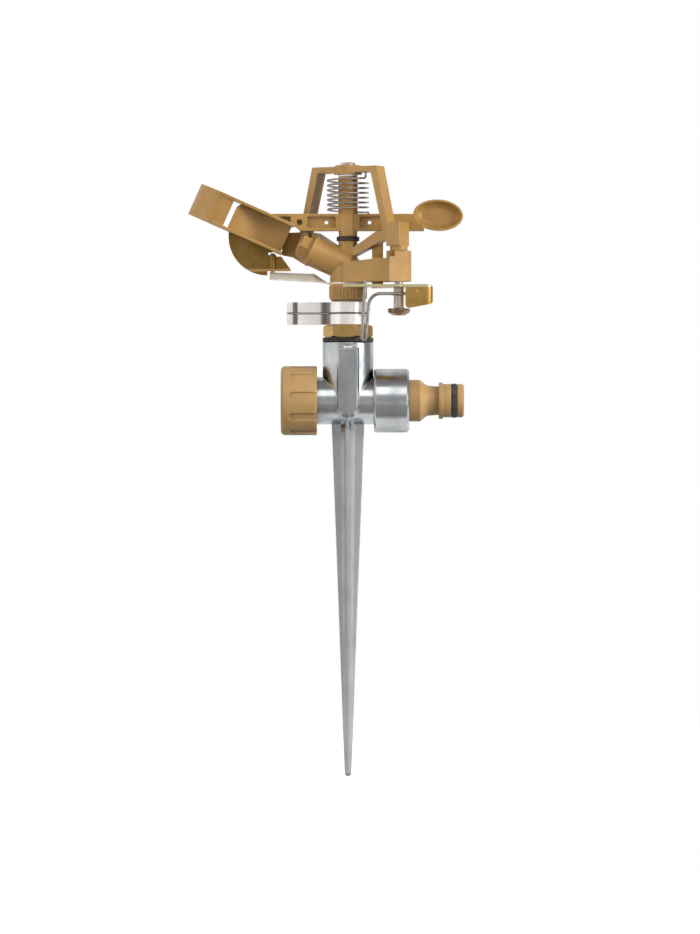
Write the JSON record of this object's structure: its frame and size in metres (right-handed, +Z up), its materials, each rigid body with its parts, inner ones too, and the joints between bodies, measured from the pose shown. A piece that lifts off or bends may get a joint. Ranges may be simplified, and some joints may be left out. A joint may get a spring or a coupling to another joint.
{
  "type": "impact sprinkler",
  "caption": "Impact sprinkler head with a spring-loaded drive arm, trip lever, sector collars and jet deflector, on a cast tee with a ground spike and a hose connector.",
  "frame": {"origin": "on the head's turning axis at ground level, where the spike leaves the underside of the tee", "axes": "+Z up along the turning axis, +X towards the hose connector, -Y to the front seen in the picture"},
  "size_m": [0.138, 0.0425, 0.3065],
  "materials": {
    "cast_zinc": "as-cast zinc grey",
    "tan_plastic": "satin",
    "gold_plastic": "satin",
    "brass": "machined",
    "black_rubber": "matte",
    "white_plastic": "matte",
    "spring_steel": "drawn wire",
    "plated_steel": "plated",
    "bright_steel": "polished",
    "gold_steel": "gold passivated"
  },
  "bodies": {
    "base": {"spike_casting": "cast_zinc", "riser_washer": "black_rubber", "bearing_nipple": "brass", "inlet_connector": "tan_plastic", "connector_washer": "black_rubber", "connector_seal": "black_rubber"},
    "cap_seal": {"end_cap_washer": "black_rubber"},
    "cap": {"end_cap": "tan_plastic"},
    "lower_collar": {"lower_collar": "bright_steel"},
    "upper_collar": {"upper_collar": "bright_steel"},
    "head": {"head_body": "gold_plastic", "nozzle": "gold_plastic", "rotating_spindle": "brass", "slip_washer": "white_plastic", "seal_washer": "black_rubber", "spring_seat": "white_plastic", "bearing_spring": "spring_steel", "bearing_skirt": "gold_plastic", "fulcrum_pin": "plated_steel", "arm_washer": "black_rubber", "top_washer": "white_plastic", "arm_spring": "spring_steel", "pivot_washer": "gold_plastic", "trip_pin": "plated_steel", "deflector_strip": "plated_steel", "deflector_pin": "gold_steel"},
    "arm": {"drive_arm": "gold_plastic", "arm_bush": "white_plastic"},
    "trip": {"trip_lever": "gold_steel", "trip_bush": "plated_steel", "trip_wire": "spring_steel"},
    "flap": {"deflector_flap": "gold_steel"}
  },
  "joints": [
    {"name": "head_turn", "type": "hinge", "parent": "base", "child": "head", "pos_m": [0, 0, 0.055], "axis": [0, 0, 1], "range_deg": [-90, 145]},
    {"name": "lower_collar_turn", "type": "hinge", "parent": "base", "child": "lower_collar", "pos_m": [0, 0, 0.0527], "axis": [0, 0, 1], "range_deg": [-40, 10]},
    {"name": "upper_collar_turn", "type": "hinge", "parent": "base", "child": "upper_collar", "pos_m": [0, 0, 0.0585], "axis": [0, 0, 1], "range_deg": [-40, 10]},
    {"name": "arm_swing", "type": "hinge", "parent": "head", "child": "arm", "pos_m": [0, 0, 0.101], "axis": [0, 0, 1], "range_deg": [0, 105], "stiffness_Nm_per_rad": 0.02, "springref_deg": -28.65, "deforming": ["arm_spring"]},
    {"name": "trip_toggle", "type": "hinge", "parent": "head", "child": "trip", "pos_m": [0.02529, -0.0146, 0.069], "axis": [0, 0, 1], "range_deg": [-6, 6]},
    {"name": "deflector_swing", "type": "hinge", "parent": "head", "child": "flap", "pos_m": [-0.0378, 0.008, 0.081], "axis": [0, 0, -1], "range_deg": [0, 60]},
    {"name": "cap_travel", "type": "slide", "parent": "base", "child": "cap_seal", "axis": [-1, 0, 0], "range_m": [0, 0.0127]},
    {"name": "cap_turn", "type": "hinge", "parent": "cap_seal", "child": "cap", "pos_m": [-0.03, 0, 0.012], "axis": [-1, 0, 0], "range_deg": [0, 2522]}
  ],
  "couplings": [
    {"joint": "cap_turn", "follows": "cap_travel", "rad_per_m": 3463.7}
  ]
}
